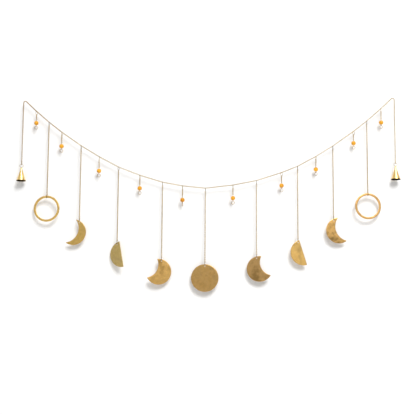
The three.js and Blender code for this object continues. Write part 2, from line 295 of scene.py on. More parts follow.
def brass(name, light, dark, edge=None, blotch_mm=BLOTCH_MM, strength=0.8, low_shade=0.0,
          roughness=0.4, dents=0.1):
    material = bpy.data.materials.new(name)
    material.use_nodes = True
    nodes, links = material.node_tree.nodes, material.node_tree.links
    shader = nodes["Principled BSDF"]
    shader.inputs["Metallic"].default_value = 1.0
    group = nodes.new("ShaderNodeGroup")
    group.node_tree = mottled_brass
    values = {
        "Light Tone": (*light, 1),
        "Dark Tone": (*dark, 1),
        "Edge Tone": (*(edge or light), 1),
        "Blotch Scale": 1 / (blotch_mm * MM),
        "Blotch Strength": strength,
        "Low Shade": low_shade,
        "Roughness": roughness,
    }
    for label, value in values.items():
        group.inputs[label].default_value = value
    bump = nodes.new("ShaderNodeBump")
    bump.inputs["Strength"].default_value = dents
    bump.inputs["Distance"].default_value = GRAIN_DEPTH
    links.new(group.outputs["Height"], bump.inputs["Height"])
    links.new(group.outputs["Tone"], shader.inputs["Base Color"])
    links.new(group.outputs["Roughness"], shader.inputs["Roughness"])
    links.new(bump.outputs["Normal"], shader.inputs["Normal"])
    return material


strand_brass = brass("strand brass", (0.58, 0.43, 0.20), (0.32, 0.23, 0.10),
                     blotch_mm=2.5, roughness=0.42)
drop_brass = brass("drop chain brass", (0.50, 0.30, 0.03), (0.23, 0.135, 0.012),
                   blotch_mm=2.5, roughness=0.42)
# Painted shade: the strand looks darker near the left nail, and this darker brass paints that shade into its
# links.
strand_painted_shade_brass = brass("strand painted shade brass", (0.42, 0.22, 0.01), (0.18, 0.09, 0.004),
                        blotch_mm=2.5, roughness=0.42)
joint_brass = brass("joint brass", (0.16, 0.10, 0.04), (0.07, 0.045, 0.02),
                    blotch_mm=3, roughness=0.4)
ring_brass = brass("ring brass", (0.42, 0.29, 0.09), (0.22, 0.145, 0.04),
                   blotch_mm=3, strength=0.6, roughness=0.28)
bell_brass = brass("bell brass", (0.95, 0.70, 0.28), (0.80, 0.48, 0.16),
                   blotch_mm=14, strength=0.5, roughness=0.38, dents=0.02)
left_band_brass = brass("left band brass", (0.92, 0.62, 0.20), (0.66, 0.42, 0.125),
                        blotch_mm=7, strength=0.9, roughness=0.37, dents=0.2)
right_band_brass = brass("right band brass", (0.78, 0.48, 0.185), (0.56, 0.32, 0.115),
                         blotch_mm=7, strength=0.9, roughness=0.4, dents=0.2)
# Painted shade: a nearly black brass for the inside of each bell, its rim and the last row above it.
bell_painted_shade_brass = brass("bell painted shade brass", (0.03, 0.02, 0.015), (0.012, 0.008, 0.006),
                     blotch_mm=4, roughness=0.7)
print("brass finishes:", len(bpy.data.materials))

# %% [markdown]
# ## Jump rings
# A jump ring is a short wire bent into a circle, with a fine seam where its ends meet. A torus
# would have no seam, so the wire is swept along an arc that stops just short of a full turn.

# %% Jump rings
RING_WIRE = 0.8 * MM
RING_DIAMETER = 8 * MM
RING_RADIUS = (RING_DIAMETER - RING_WIRE) / 2
RING_STEPS = 44
RING_SIDES = 10
SEAM_GAP = math.radians(1.6)
SEAM_PLACE = math.radians(200)


def jump_ring(centre, turn):
    """The wire of a jump ring around its centre."""
    path = []
    for i in range(RING_STEPS + 1):
        angle = SEAM_PLACE + SEAM_GAP / 2 + (2 * math.pi - SEAM_GAP) * i / RING_STEPS
        path.append(upright_place(centre, turn, RING_RADIUS * math.cos(angle), RING_RADIUS * math.sin(angle)))
    return sweep(path, RING_WIRE / 2, RING_SIDES)


print("wire in one jump ring, in mm:", round(2 * math.pi * RING_RADIUS / MM, 1))

# %% [markdown]
# ## Chain links
# Cable chain is made of equal oval links, each at right angles to the next. Where a link hangs on
# a ring, its plane has to cross the ring's wire, and the links between two rings share out the
# twist that this asks for. One oval is worked out once, and each link is that oval carried to
# its place, which is much faster than an array with a curve modifier.

# %% Chain links
LINK_WIRE = 0.8 * MM
LINK_PITCH = 2.5 * MM
CLEARANCE = 0.3 * MM
LINK_INNER_WIDTH = RING_WIRE + 2 * CLEARANCE
LINK_END_STEPS = 6
LINK_SIDES = 6


def oval(pitch):
    """The points of a link's wire, as (along, across, out along, out across)."""
    bend = (LINK_INNER_WIDTH + LINK_WIRE) / 2
    straight = (pitch + LINK_WIRE) / 2 - bend
    points = []
    for side in (1, -1):
        for i in range(LINK_END_STEPS + 1):
            angle = side * (math.pi / 2 - math.pi * i / LINK_END_STEPS)
            out = (side * math.cos(angle), math.sin(angle))
            points.append((side * straight + bend * out[0], bend * out[1], out[0], out[1]))
    return points


def link_run(places, tangents, angles, pitch):
    """Links at the given places. An angle is measured from the wall's depth around the chain."""
    points = oval(pitch)
    vertices = []
    faces = []
    count = len(points)
    depth = Vector((0, 1, 0))
    for place, along, angle in zip(places, tangents, angles):
        level = along.cross(depth).normalized()
        normal = math.cos(angle) * depth + math.sin(angle) * level
        across = normal.cross(along).normalized()
        start = len(vertices)
        for a, b, out_a, out_b in points:
            centre = place + a * along + b * across
            outward = out_a * along + out_b * across
            for k in range(LINK_SIDES):
                turn = 2 * math.pi * k / LINK_SIDES
                around = math.cos(turn) * outward + math.sin(turn) * normal
                vertices.append(centre + LINK_WIRE / 2 * around)
        for i in range(count):
            j = (i + 1) % count
            for k in range(LINK_SIDES):
                m = (k + 1) % LINK_SIDES
                faces.append(tuple(start + v for v in (
                    i * LINK_SIDES + k, i * LINK_SIDES + m, j * LINK_SIDES + m, j * LINK_SIDES + k)))
    return vertices, faces


def wire_angle(along, wire):
    """The angle of the link plane that a wire in this direction passes straight through."""
    depth = Vector((0, 1, 0))
    level = along.cross(depth).normalized()
    return math.atan2(wire.dot(level), wire.dot(depth))


def shared_angles(first, last, count):
    """Each link is a quarter turn from the one before, plus its share of the twist."""
    if count == 1:
        return [first]
    need = last - first - (count - 1) * math.pi / 2
    twist = (need + math.pi / 2) % math.pi - math.pi / 2
    return [first + i * (math.pi / 2 + twist / (count - 1)) for i in range(count)]


def ring_wire(turn):
    """The direction of a jump ring's wire at its top and at its bottom."""
    return Vector((math.sin(math.radians(turn)), math.cos(math.radians(turn)), 0))


print("corners of one link:", len(oval(LINK_PITCH)) * LINK_SIDES)

# %% [markdown]
# ## Where things hang
# The moons and beads are listed here from left to right. The model says how high each one
# hangs, so only what it can't say is given again, with all angles in degrees. A moon's side is
# the way it bulges, its hole is the hole's place around the disc, and its turn is how far it hangs
# from facing straight ahead. A bead has a ring above it and one below it, each with its own turn.
# The solids' wires have eight flat sides, so their boxes are a little smaller than round wires.

# %% The hanging pieces
MOONS = [
    {"name": "new_moon_ring_left", "kind": "band", "turn": 6},
    {"name": "thin_crescent_left", "kind": "thin", "side": -1, "hole": 98, "turn": 4},
    {"name": "half_moon_left", "kind": "half", "side": 1, "hole": 108, "turn": 24},
    {"name": "fat_crescent_left", "kind": "fat", "side": -1, "hole": 77, "turn": -5},
    {"name": "full_moon", "kind": "full", "side": 1, "hole": 90, "turn": 3},
    {"name": "fat_crescent_right", "kind": "fat", "side": 1, "hole": 79, "turn": 4},
    {"name": "half_moon_right", "kind": "half", "side": 1, "hole": 101, "turn": -4},
    {"name": "thin_crescent_right", "kind": "thin", "side": 1, "hole": 97, "turn": -6},
    {"name": "new_moon_ring_right", "kind": "band", "turn": -5},
]
BEAD_TURNS = [
    (-50, 80), (12, 62), (-8, 84), (15, 70), (-12, 10),
    (6, 88), (48, 74), (-14, 58), (50, 82), (10, 66),
]
BEADS = [
    {"name": f"bead_{i + 1:02d}", "upper": upper, "lower": lower}
    for i, (upper, lower) in enumerate(BEAD_TURNS)
]
SOLID_WIRE_SIDES = 8
FLAT_SHARE = math.cos(math.pi / SOLID_WIRE_SIDES)


def box_middle(node):
    low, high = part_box(node)
    return (low + high) / 2


def wire_at_top(node):
    """The centre of the jump ring wire that is the top of this node."""
    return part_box(node)[1].z - RING_WIRE / 2 * FLAT_SHARE


def wire_at_bottom(node):
    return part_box(node)[0].z + RING_WIRE / 2 * FLAT_SHARE


for moon in MOONS:
    node = moon["name"] + "_chain"
    moon["x"] = box_middle(node).x
    moon["strand"] = wire_at_top(node)
    moon["rest"] = wire_at_bottom(node)
for bead in BEADS:
    bead["x"] = box_middle(bead["name"]).x
    bead["strand"] = wire_at_top(bead["name"] + "_hanger")
    bead["lower_ring"] = box_middle(bead["name"] + "_ring").z
print("lowest ring in mm:", round(min(moon["rest"] for moon in MOONS) / MM, 1))

# %% [markdown]
# ## The main chain
# The chain goes up from the left bell, bends over the nail, sags from ring to ring and ends at
# the right bell. Its links are spaced evenly from one ring to the next, so that every ring goes
# through the middle of a link. The left tail and the first stretches get a darker brass than the
# drop chains, which is painted shade, and the rest of the strand is lighter. Each face takes its
# finish from a list of numbers: with two materials on one mesh, the chain stays in one piece.

# %% Main chain
BEND_STEPS = 24
PAINTED_SHADE_STRETCHES = 3
NAIL_RISE = 12.5 * MM
bend_radius = -box_middle("left_bell_ring").x
left_nail = Vector((0, 0, 0))
right_nail = Vector((box_middle("right_bell_ring").x - bend_radius, 0, NAIL_RISE))


def bend(nail, place, side):
    """The places along a nail's bend, from the tail to where the strand leaves for a place."""
    away = place - nail
    end = math.atan2(away.z, side * away.x) + math.acos(bend_radius / away.length)
    places = []
    for i in range(BEND_STEPS + 1):
        angle = math.pi + (end - math.pi) * i / BEND_STEPS
        places.append(nail + bend_radius * Vector((side * math.cos(angle), 0, math.sin(angle))))
    return places


def along_path(path, count):
    """Evenly spaced places along a path from end to end, with their directions and their pitch."""
    lengths = [(b - a).length for a, b in zip(path, path[1:])]
    total = sum(lengths)
    places = []
    tangents = []
    step = 0
    walked = 0.0
    for k in range(count + 1):
        target = total * k / count
        while step < len(lengths) - 1 and walked + lengths[step] < target:
            walked += lengths[step]
            step += 1
        start, end = path[step], path[step + 1]
        places.append(start.lerp(end, (target - walked) / lengths[step]))
        tangents.append((end - start).normalized())
    return places, tangents, total / count


def main_chain():
    stops = sorted(
        [(moon["x"], moon["strand"], moon["turn"]) for moon in MOONS]
        + [(bead["x"], bead["strand"], bead["upper"]) for bead in BEADS]
    )
    rings = [Vector((x, 0, z)) for x, z, _ in stops]
    left_end = Vector((-bend_radius, 0, wire_at_top("left_bell_ring")))
    right_end = Vector((right_nail.x + bend_radius, 0, wire_at_top("right_bell_ring")))
    left_bend = bend(left_nail, rings[0], 1)
    right_bend = bend(right_nail, rings[-1], -1)
    paths = [[left_end, *left_bend, rings[0]]]
    paths += [[a, b] for a, b in zip(rings, rings[1:])]
    paths += [[rings[-1], *reversed(right_bend), right_end]]
    wires = [ring_wire(90), *(ring_wire(turn) for _, _, turn in stops), ring_wire(90)]
    parts = []
    total = 0
    for i, path in enumerate(paths):
        length = sum((b - a).length for a, b in zip(path, path[1:]))
        count = round(length / LINK_PITCH)
        places, tangents, pitch = along_path(path, count)
        first = wire_angle(tangents[0], wires[i])
        final = wire_angle(tangents[-1], wires[i + 1])
        angles = shared_angles(first, final, count + 1)
        last = i == len(paths) - 1
        keep = slice(0, None if last else -1)
        parts.append(link_run(places[keep], tangents[keep], angles[keep], pitch))
        total += count
    print("links in the main chain:", total + 1)
    vertices, faces = join_parts(parts)
    # The faces of the left tail and the first stretches take the painted shade brass.
    painted_shade_faces = sum(len(part_faces) for _, part_faces in parts[:PAINTED_SHADE_STRETCHES])
    of_stretch = [1] * painted_shade_faces + [0] * (len(faces) - painted_shade_faces)
    make_piece("main_chain_links", vertices, faces, [strand_brass, strand_painted_shade_brass], "chain_brass",
               "main_chain", of_stretch)


main_chain()

# %% [markdown]
# ## Drop chains
# Each moon hangs on a straight chain between two jump rings. The links and both rings are one
# piece here, because they are one node in the model. The rings are more tarnished than the links,
# so they show as dark joints on the main chain.

# %% Drop chains
def hanging_links(x, top_wire, bottom_wire, wire_below, upper_turn, lower_wire):
    """Links that hang from one wire and hold another, between the two wire centres."""
    top_inside = top_wire + RING_WIRE / 2
    bottom_inside = bottom_wire - wire_below / 2
    count = round((top_inside - bottom_inside) / LINK_PITCH)
    pitch = (top_inside - bottom_inside) / count
    down = Vector((0, 0, -1))
    places = [Vector((x, 0, top_inside - (i + 0.5) * pitch)) for i in range(count)]
    angles = shared_angles(wire_angle(down, ring_wire(upper_turn)), wire_angle(down, lower_wire), count)
    return link_run(places, [down] * count, angles, pitch), count


def drop_chain(moon):
    upper = Vector((moon["x"], 0, moon["strand"] - RING_RADIUS))
    lower = Vector((moon["x"], 0, moon["rest"] + RING_RADIUS))
    links, count = hanging_links(moon["x"], upper.z - RING_RADIUS, lower.z + RING_RADIUS, RING_WIRE,
                                 moon["turn"], ring_wire(moon["turn"]))
    rings = [jump_ring(upper, moon["turn"]), jump_ring(lower, moon["turn"])]
    vertices, faces = join_parts([links, *rings])
    of_ring = [0] * len(links[1]) + [1] * (len(faces) - len(links[1]))
    name = moon["name"] + "_chain"
    make_piece(name + "_links", vertices, faces, [drop_brass, joint_brass], "chain_brass", name, of_ring)
    return count


print("links in the drop chains:", [drop_chain(moon) for moon in MOONS])

# %% [markdown]
# ## Moon plates
# The moons are cut from sheet brass, drilled near the edge, with softened edges and faces that
# were hammered lightly. Each outline is worked out from arcs, like the solid's. Rows of points
# follow the outline a little further in each time, which gives the rounded edge, and a field of
# points fills the face. Triangles between those points let the face carry real dents. A remesh
# would fill the face as well, but it would make the thin edge ragged.

# %% Moon outlines
PLATE_THICKNESS = 1.8 * MM
HOLE_DIAMETER = 2.4 * MM
HOLE_INSET = 3.6 * MM
HORN_TIP = 1.2 * MM
FULL_DIAMETER = 60 * MM
HALF_DIAMETER = 56.8 * MM
THIN_DIAMETER = 56.8 * MM
THIN_LEFT_WIDTH = 18.3 * MM
THIN_RIGHT_WIDTH = 22 * MM
THIN_BITE_DIAMETER = 62.5 * MM
FAT_DIAMETER = 56 * MM
FAT_WIDTH = 32.3 * MM
FAT_BITE_DIAMETER = 57 * MM
OUTLINE_STEP = 0.8 * MM
DIAMETERS = {"full": FULL_DIAMETER, "half": HALF_DIAMETER, "thin": THIN_DIAMETER, "fat": FAT_DIAMETER}


def arc(centre_x, radius, start, end):
    count = max(round(abs(end - start) * radius / OUTLINE_STEP), 2)
    angles = [start + (end - start) * i / count for i in range(count + 1)]
    return [Vector((centre_x + radius * math.cos(a), radius * math.sin(a))) for a in angles]


def straight(start, end):
    """The points between two places, without the places themselves."""
    count = max(round((end - start).length / OUTLINE_STEP), 1)
    return [start.lerp(end, i / count) for i in range(1, count)]


def crescent(diameter, width, bite_diameter):
    outer = diameter / 2
    bite = bite_diameter / 2
    bite_x = width - outer + bite
    cross_x = (bite_x**2 + outer**2 - bite**2) / (2 * bite_x)
    cross_y = math.sqrt(outer**2 - cross_x**2)
    horn = math.atan2(cross_y, cross_x)
    inner_horn = math.atan2(cross_y, cross_x - bite_x)
    set_back = HORN_TIP / (2 * math.sin((inner_horn - horn) / 2))
    horn += set_back / outer
    inner_horn += set_back / bite
    outer_arc = arc(0, outer, horn, 2 * math.pi - horn)
    inner_arc = arc(bite_x, bite, 2 * math.pi - inner_horn, inner_horn)
    low_tip = straight(outer_arc[-1], inner_arc[0])
    high_tip = straight(inner_arc[-1], outer_arc[0])
    return [*outer_arc, *low_tip, *inner_arc, *high_tip]


def half_disc(diameter):
    corner = math.pi / 2 + HORN_TIP / diameter
    edge = arc(0, diameter / 2, corner, 2 * math.pi - corner)
    return [*edge, *straight(edge[-1], edge[0])]


def moon_outline(moon):
    if moon["kind"] == "full":
        return arc(0, FULL_DIAMETER / 2, 0, 2 * math.pi)[:-1]
    if moon["kind"] == "half":
        return half_disc(HALF_DIAMETER)
    if moon["kind"] == "thin":
        width = THIN_LEFT_WIDTH if moon["side"] < 0 else THIN_RIGHT_WIDTH
        return crescent(THIN_DIAMETER, width, THIN_BITE_DIAMETER)
    return crescent(FAT_DIAMETER, FAT_WIDTH, FAT_BITE_DIAMETER)


print("points of the outlines:", {moon["name"]: len(moon_outline(moon)) for moon in MOONS if "hole" in moon})

# %% [markdown]
# A plate is made in two halves, front and back, that meet in the middle of its edge. Each half
# starts as rows of points that follow the outline and the hole. A row is moved in a little and
# raised a little from the one before, as the profile says, and that makes the rounded edge. The
# hammer's marks are two sizes of noise, which push the face in and out.

# %% Rows of points and hammer marks
EDGE_PROFILE = [(0, 0), (0, 0.42), (0.1, 0.62), (0.3, 0.76), (0.6, 0.84), (1.0, 0.88), (1.5, 0.9)]
HOLE_PROFILE = [(0, 0), (0, 0.55), (0.1, 0.75), (0.3, 0.87), (0.55, 0.9)]
HOLE_STEPS = 28
SHARPEST_LEAN = 0.5
DENT_SIZE = 7 * MM
DENT_DEPTH = 0.11 * MM
RIPPLE_SIZE = 2.6 * MM
RIPPLE_DEPTH = 0.025 * MM
RIPPLE_SEED = 5


def inset(loop, distance):
    """A closed row of points moved to its left, which is inwards when it runs anticlockwise."""
    moved = []
    for before, here, after in zip([loop[-1], *loop[:-1]], loop, [*loop[1:], loop[0]]):
        first = (here - before).normalized()
        second = (after - here).normalized()
        left = Vector((-first.y - second.y, first.x + second.x)).normalized()
        lean = max(left.dot(Vector((-first.y, first.x))), SHARPEST_LEAN)
        moved.append(here + left * distance / lean)
    return moved


def relief(x, z, seed):
    """How far the hammer has pushed the face in or out at a place."""
    broad = noise.noise(Vector((x / DENT_SIZE, z / DENT_SIZE, seed)))
    fine = noise.noise(Vector((x / RIPPLE_SIZE, z / RIPPLE_SIZE, seed + RIPPLE_SEED)))
    return DENT_DEPTH * broad + RIPPLE_DEPTH * fine


def edge_rows(loop, profile, side, seed):
    """The rows along one loop. Each point also says how near the rim it is, from 1 down to 0."""
    points = []
    rims = []
    for distance, height in profile:
        share = distance / profile[-1][0]
        for p in inset(loop, distance * MM):
            lift = relief(p.x, p.y, seed) * share
            points.append(Vector((p.x, -side * (height * MM + lift), p.y)))
            rims.append(1 - share)
    return points, rims


def row_faces(start, count, rows):
    """The faces between rows of points, each row being a closed loop."""
    faces = []
    for row in range(rows - 1):
        for i in range(count):
            j = (i + 1) % count
            a = start + row * count
            b = a + count
            faces.append((a + i, a + j, b + j, b + i))
    return faces


print("rows in half an edge:", len(EDGE_PROFILE))

# %% [markdown]
# The flat of the face is filled with a field of points, joined by triangles. The triangulation
# also fills the bite of a crescent and the hole, so each triangle's middle is tested: it is inside
# the outline if a level line from it crosses the outline an odd number of times.

# %% The field on a face
FACE_STEP = 1.0 * MM
FIELD_CLEARANCE = 0.6 * FACE_STEP
JOIN_PRECISION = 1e-9


def is_inside(x, y, corners, nexts):
    straddles = (corners[:, 1] > y) != (nexts[:, 1] > y)
    rise = np.where(straddles, nexts[:, 1] - corners[:, 1], 1)
    cross_x = (nexts[:, 0] - corners[:, 0]) * (y - corners[:, 1]) / rise + corners[:, 0]
    return (straddles & (x < cross_x)).sum() % 2 == 1


def face_points(corners, nexts, hole, hole_radius):
    """Points in staggered rows, inside the loop of corners and outside the hole."""
    low_x, low_y = corners.min(axis=0)
    high_x, high_y = corners.max(axis=0)
    points = []
    row = 0
    y = low_y
    while y < high_y:
        x = low_x + (row % 2) * FACE_STEP / 2
        while x < high_x:
            near = np.hypot(corners[:, 0] - x, corners[:, 1] - y).min()
            off_hole = math.hypot(x - hole.x, y - hole.y) > hole_radius + FIELD_CLEARANCE
            if near > FIELD_CLEARANCE and off_hole and is_inside(x, y, corners, nexts):
                points.append(Vector((x, y)))
            x += FACE_STEP
        y += FACE_STEP * math.sqrt(3) / 2
        row += 1
    return points


def face_side(outline, hole, side, seed):
    """One face with its half of the edges, as points, their nearness to the rim and faces."""
    turns = [-2 * math.pi * i / HOLE_STEPS for i in range(HOLE_STEPS)]
    hole_loop = [hole + Vector((math.cos(a), math.sin(a))) * HOLE_DIAMETER / 2 for a in turns]
    n, m = len(outline), len(hole_loop)
    vertices, rims = edge_rows(outline, EDGE_PROFILE, side, seed)
    faces = row_faces(0, n, len(EDGE_PROFILE))
    hole_start = len(vertices)
    hole_points, hole_rims = edge_rows(hole_loop, HOLE_PROFILE, side, seed)
    vertices += hole_points
    rims += hole_rims
    faces += row_faces(hole_start, m, len(HOLE_PROFILE))

    outer = inset(outline, EDGE_PROFILE[-1][0] * MM)
    inner = inset(hole_loop, HOLE_PROFILE[-1][0] * MM)
    corners = np.array([(p.x, p.y) for p in outer])
    nexts = np.roll(corners, -1, axis=0)
    field = face_points(corners, nexts, hole, HOLE_DIAMETER / 2 + HOLE_PROFILE[-1][0] * MM)
    edges = [(i, (i + 1) % n) for i in range(n)] + [(n + i, n + (i + 1) % m) for i in range(m)]
    flat = [*outer, *inner, *field]
    made, _, triangles, origins, _, _ = delaunay_2d_cdt(flat, edges, [], 0, JOIN_PRECISION)

    last_outer = n * (len(EDGE_PROFILE) - 1)
    last_inner = hole_start + m * (len(HOLE_PROFILE) - 1)
    index = {}
    for new, old in enumerate(origins):
        if old and old[0] < n:
            index[new] = last_outer + old[0]
        elif old and old[0] < n + m:
            index[new] = last_inner + old[0] - n
        else:
            p = made[new]
            index[new] = len(vertices)
            vertices.append(Vector((p.x, -side * (PLATE_THICKNESS / 2 + relief(p.x, p.y, seed)), p.y)))
            rims.append(0)
    for triangle in triangles:
        middle = sum((made[i] for i in triangle), Vector((0, 0))) / len(triangle)
        off_hole = (middle - hole).length > (inner[0] - hole).length
        if off_hole and is_inside(middle.x, middle.y, corners, nexts):
            faces.append(tuple(index[i] for i in triangle))
    return vertices, rims, faces


# %% [markdown]
# The moon hangs from its hole, so its centre of mass comes to rest under it. That alone says how
# far each crescent tilts.

# %% Whole plates
BACK_SEED = 50
WELD_DISTANCE = 0.001 * MM


def centroid(points):
    area = 0
    total = Vector((0, 0))
    for a, b in zip(points, [*points[1:], points[0]]):
        cross = a.x * b.y - b.x * a.y
        area += cross / 2
        total += (a + b) * cross
    return total / (6 * area)


def hole_place(moon):
    around = math.radians(moon["hole"])
    reach = DIAMETERS[moon["kind"]] / 2 - HOLE_INSET
    return Vector((moon["side"] * reach * math.cos(around), reach * math.sin(around)))


def hung(moon, outline, hole):
    """What carries a flat plate to its place on the lower ring of its chain."""
    weight = centroid(outline) - hole
    tilt = -math.pi / 2 - math.atan2(weight.y, weight.x)
    rest = HOLE_DIAMETER / 2 - RING_WIRE / 2 - CLEARANCE
    return (
        Matrix.Translation((moon["x"], 0, moon["rest"] - rest))
        @ Matrix.Rotation(-math.radians(moon["turn"]), 4, "Z")
        @ Matrix.Rotation(-tilt, 4, "Y")
        @ Matrix.Translation((-hole.x, 0, -hole.y))
    )


def weld_edges(piece):
    """Joins the front's and the back's halves where they meet in the middle of the edge."""
    work = bmesh.new()
    work.from_mesh(piece.data)
    bmesh.ops.remove_doubles(work, verts=work.verts, dist=WELD_DISTANCE)
    bmesh.ops.recalc_face_normals(work, faces=work.faces)
    work.to_mesh(piece.data)
    work.free()


def moon_plate(moon, material, seed):
    outline = [Vector((moon["side"] * p.x, p.y)) for p in moon_outline(moon)]
    if moon["side"] < 0:
        outline.reverse()
    hole = hole_place(moon)
    to_place = hung(moon, outline, hole)
    front_points, front_rims, front_faces = face_side(outline, hole, 1, seed)
    back_points, back_rims, back_faces = face_side(outline, hole, -1, seed + BACK_SEED)
    vertices = [to_place @ v for v in (*front_points, *back_points)]
    shift = len(front_points)
    faces = [*front_faces, *(tuple(shift + i for i in reversed(face)) for face in back_faces)]
    piece = make_piece(moon["name"] + "_plate", vertices, faces, [material], "moon_brass", moon["name"])
    rim = piece.data.attributes.new("rim", "FLOAT", "POINT")
    rim.data.foreach_set("value", [*front_rims, *back_rims])
    weld_edges(piece)
    return piece


# %% [markdown]
# ## Moon finishes
# Each moon has its own tone. The full moon and the right fat crescent are the darkest, and the
# half moons are the most golden. A narrow rim along the edge and the hole is redder, in patches.

# %% Moon finishes
MOON_TONES = {
    "thin_crescent_left": {"light": (0.72, 0.48, 0.15), "dark": (0.50, 0.33, 0.09), "low_shade": 0.2},
    "half_moon_left": {"light": (0.86, 0.64, 0.26), "dark": (0.65, 0.48, 0.17), "low_shade": 0.1,
                       "edge": (0.50, 0.36, 0.15)},
    "fat_crescent_left": {"light": (0.84, 0.52, 0.17), "dark": (0.28, 0.17, 0.05), "low_shade": -0.45,
                          "blotch_mm": 15},
    "full_moon": {"light": (0.60, 0.38, 0.14), "dark": (0.34, 0.20, 0.06), "low_shade": 0.4},
    "fat_crescent_right": {"light": (0.60, 0.37, 0.145), "dark": (0.22, 0.133, 0.044), "low_shade": 0.75,
                           "blotch_mm": 18},
    "half_moon_right": {"light": (0.74, 0.48, 0.16), "dark": (0.53, 0.33, 0.10), "low_shade": 0.3},
    "thin_crescent_right": {"light": (0.84, 0.51, 0.175), "dark": (0.22, 0.135, 0.045), "low_shade": 0.85},
}
EDGE_TONE = (0.60, 0.36, 0.11)
MOON_ROUGHNESS = 0.42
MOON_DENTS = 0.3
MOON_SEED_STEP = 3.7

for seed, moon in enumerate(MOONS):
    if moon["kind"] == "band":
        continue
    tones = MOON_TONES[moon["name"]]
    finish = brass(moon["name"] + " brass", tones["light"], tones["dark"], tones.get("edge", EDGE_TONE),
                   blotch_mm=tones.get("blotch_mm", BLOTCH_MM), low_shade=tones["low_shade"],
                   roughness=MOON_ROUGHNESS, dents=MOON_DENTS)
    plate = moon_plate(moon, finish, seed * MOON_SEED_STEP)
    low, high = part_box(moon["name"])
    corners = [Vector(c) for c in plate.bound_box]
    off = max(abs(min(c.x for c in corners) - low.x), abs(max(c.z for c in corners) - high.z))
    print(moon["name"], "faces:", len(plate.data.polygons), "off by mm:", round(off / MM, 2))

# %% [markdown]
# ## The new moons
# The new moon is only a bright ring: a flat band with rounded edges, hammered all round. Its
# section is swept round a circle, and noise along the way gives the flats that the hammer left.
# The right ring has a darker brass, because it hangs nearer to the lamp and would look too bright.

# %% New moon rings
BAND_DIAMETER = 58 * MM
BAND_WIDTH = 5 * MM
BAND_THICKNESS = 2.4 * MM
BAND_STEPS = 200
BAND_SECTION = 24
BAND_DENT_SIZE = 5 * MM
BAND_DENT_DEPTH = 0.16 * MM
BAND_DENT_SHIFT = 0.3
BAND_SEED_STEP = 40
BAND_SQUARENESS = 5
BAND_FINISHES = {"new_moon_ring_left": left_band_brass, "new_moon_ring_right": right_band_brass}


def band_ring(moon, seed):
    centre = box_middle(moon["name"])
    middle = (BAND_DIAMETER - BAND_WIDTH) / 2
    face_on = 90 + moon["turn"]
    vertices = []
    for i in range(BAND_STEPS):
        angle = 2 * math.pi * i / BAND_STEPS
        for k in range(BAND_SECTION):
            around = 2 * math.pi * k / BAND_SECTION
            c, s = math.cos(around), math.sin(around)
            wide = BAND_WIDTH / 2 * math.copysign(abs(c) ** (2 / BAND_SQUARENESS), c)
            deep = BAND_THICKNESS / 2 * math.copysign(abs(s) ** (2 / BAND_SQUARENESS), s)
            place = Vector((math.cos(angle), math.sin(angle), 0)) * middle / BAND_DENT_SIZE
            dent = noise.noise(place + Vector((wide, deep, seed * MM)) / BAND_DENT_SIZE) - BAND_DENT_SHIFT
            radius = middle + wide + BAND_DENT_DEPTH * dent * c
            flat = upright_place(centre, face_on, radius * math.cos(angle), radius * math.sin(angle))
            vertices.append(flat + ring_wire(moon["turn"]) * (deep + BAND_DENT_DEPTH * dent * s))
    faces = []
    for i in range(BAND_STEPS):
        j = (i + 1) % BAND_STEPS
        for k in range(BAND_SECTION):
            m = (k + 1) % BAND_SECTION
            here, there = i * BAND_SECTION, j * BAND_SECTION
            faces.append((here + k, here + m, there + m, there + k))
    finish = BAND_FINISHES[moon["name"]]
    return make_piece(moon["name"] + "_band", vertices, faces, [finish], "bright_brass", moon["name"])


for seed, moon in enumerate(MOONS):
    if moon["kind"] == "band":
        band = band_ring(moon, seed * BAND_SEED_STEP)
        print(band.name, "faces:", len(band.data.polygons))

# %% [markdown]
# ## Beads
# The beads are turned from wood, stained amber and lacquered. A lathe shape has the bore and its
# rounded mouths, which a plain sphere has not. Fine streaks run along the grain, and the gloss is
# a clear coat over a rougher stain.

# %% Bead wood
WOOD_LIGHT = (0.95, 0.47, 0.015)
WOOD_DARK = (0.50, 0.17, 0.006)
WOOD_NOISE = (0.38, 0.66)
STREAK_SCALE = 1100
STREAK_DETAIL = 5
STREAK_STRETCH = 0.18
STREAK_SHARE = 0.6
CLOUD_SCALE = 130
CLOUD_DETAIL = 2
WOOD_ROUGHNESS = 0.35
STREAK_ROUGHNESS = 0.15
STREAK_DEPTH = 0.05 * MM
STREAK_STRENGTH = 0.15
LACQUER = 0.35
LACQUER_ROUGHNESS = 0.12
WOOD_SHINE = 0.3


